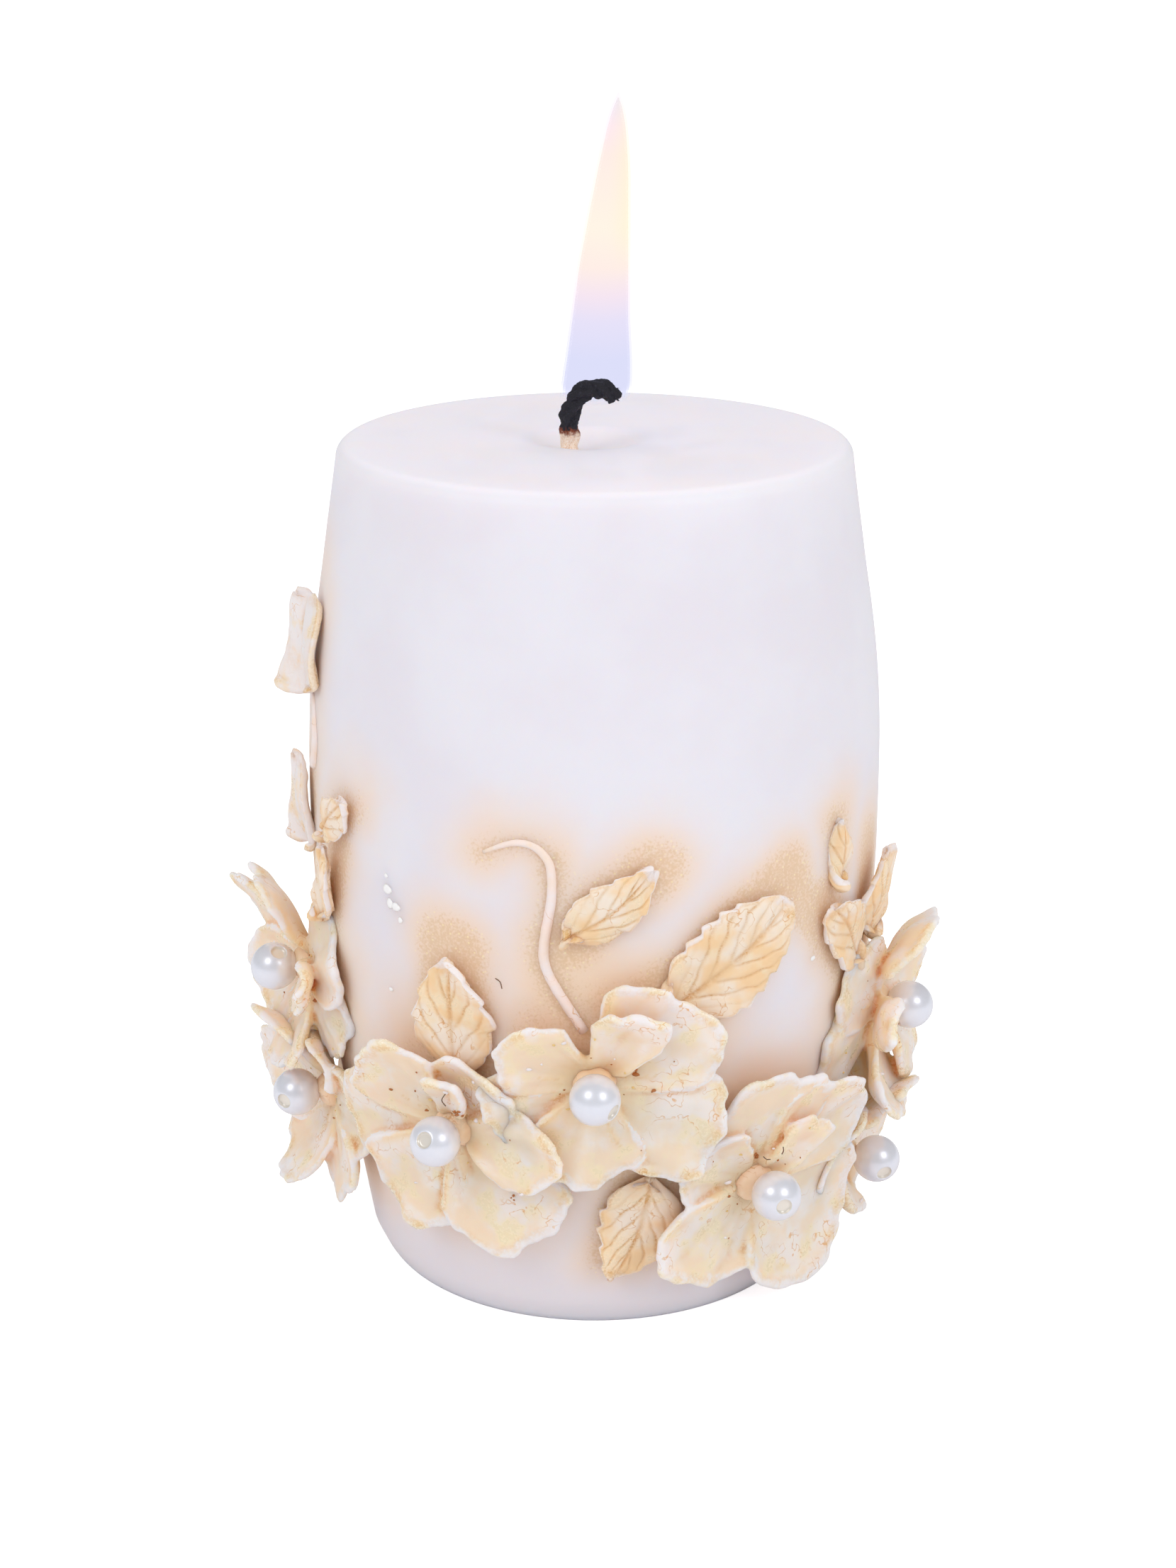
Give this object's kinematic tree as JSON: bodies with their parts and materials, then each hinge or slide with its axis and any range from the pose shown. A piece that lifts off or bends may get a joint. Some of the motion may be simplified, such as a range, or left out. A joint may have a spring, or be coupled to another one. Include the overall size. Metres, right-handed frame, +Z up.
{
  "type": "unity candle",
  "caption": "Lit barrel-shaped pillar candle for a wedding table, with a garland of hand-pressed wax flowers, leaves and stems, and a pearl bead in each flower.",
  "frame": {"origin": "centre of the candle's round base, on the face that it stands on", "axes": "+Z up the candle's axis to the flame, -Y to the front, where the middle flower and the curled tendril are, +X to the right as seen from the front"},
  "size_m": [0.0863, 0.087, 0.1458],
  "materials": {
    "wax_body": "cast wax, satin",
    "wax_petals": "pressed wax dusted with gold",
    "wax_seats": "pressed wax dusted with gold",
    "wax_leaves": "pressed wax dusted with gold",
    "pearl_beads": "pearlescent",
    "wick_cotton": "braided cotton, charred at its free end",
    "wick_tab_steel": "tinned",
    "flame": "hot gas"
  },
  "bodies": {
    "root": {"bud_right": "wax_leaves", "candle_body": "wax_body", "flame": "flame", "flower_back_left_lower_pearl": "pearl_beads", "flower_back_left_lower_petals": "wax_petals", "flower_back_left_lower_seat": "wax_seats", "flower_back_left_upper_pearl": "pearl_beads", "flower_back_left_upper_petals": "wax_petals", "flower_back_left_upper_seat": "wax_seats", "flower_back_lower_pearl": "pearl_beads", "flower_back_lower_petals": "wax_petals", "flower_back_lower_seat": "wax_seats", "flower_back_right_lower_pearl": "pearl_beads", "flower_back_right_lower_petals": "wax_petals", "flower_back_right_lower_seat": "wax_seats", "flower_back_right_upper_pearl": "pearl_beads", "flower_back_right_upper_petals": "wax_petals", "flower_back_right_upper_seat": "wax_seats", "flower_front_left_pearl": "pearl_beads", "flower_front_left_petals": "wax_petals", "flower_front_left_seat": "wax_seats", "flower_front_pearl": "pearl_beads", "flower_front_petals": "wax_petals", "flower_front_right_pearl": "pearl_beads", "flower_front_right_petals": "wax_petals", "flower_front_right_seat": "wax_seats", "flower_front_seat": "wax_seats", "flower_left_lower_pearl": "pearl_beads", "flower_left_lower_petals": "wax_petals", "flower_left_lower_seat": "wax_seats", "flower_left_upper_pearl": "pearl_beads", "flower_left_upper_petals": "wax_petals", "flower_left_upper_seat": "wax_seats", "flower_right_lower_pearl": "pearl_beads", "flower_right_lower_petals": "wax_petals", "flower_right_lower_seat": "wax_seats", "flower_right_upper_pearl": "pearl_beads", "flower_right_upper_petals": "wax_petals", "flower_right_upper_seat": "wax_seats", "leaf_back_bottom": "wax_leaves", "leaf_back_left": "wax_leaves", "leaf_back_middle": "wax_leaves", "leaf_back_right": "wax_leaves", "leaf_front_bottom": "wax_leaves", "leaf_front_left": "wax_leaves", "leaf_front_right": "wax_leaves", "leaf_left_narrow": "wax_leaves", "leaf_left_small": "wax_leaves", "leaf_left_top": "wax_leaves", "leaf_left_upper": "wax_leaves", "leaf_on_tendril": "wax_leaves", "leaf_right_tall": "wax_leaves", "leaf_right_wide": "wax_leaves", "stem_left": "wax_leaves", "tendril_back": "wax_leaves", "tendril_front": "wax_leaves", "wick": "wick_cotton", "wick_tab": "wick_tab_steel"}
  },
  "joints": []
}
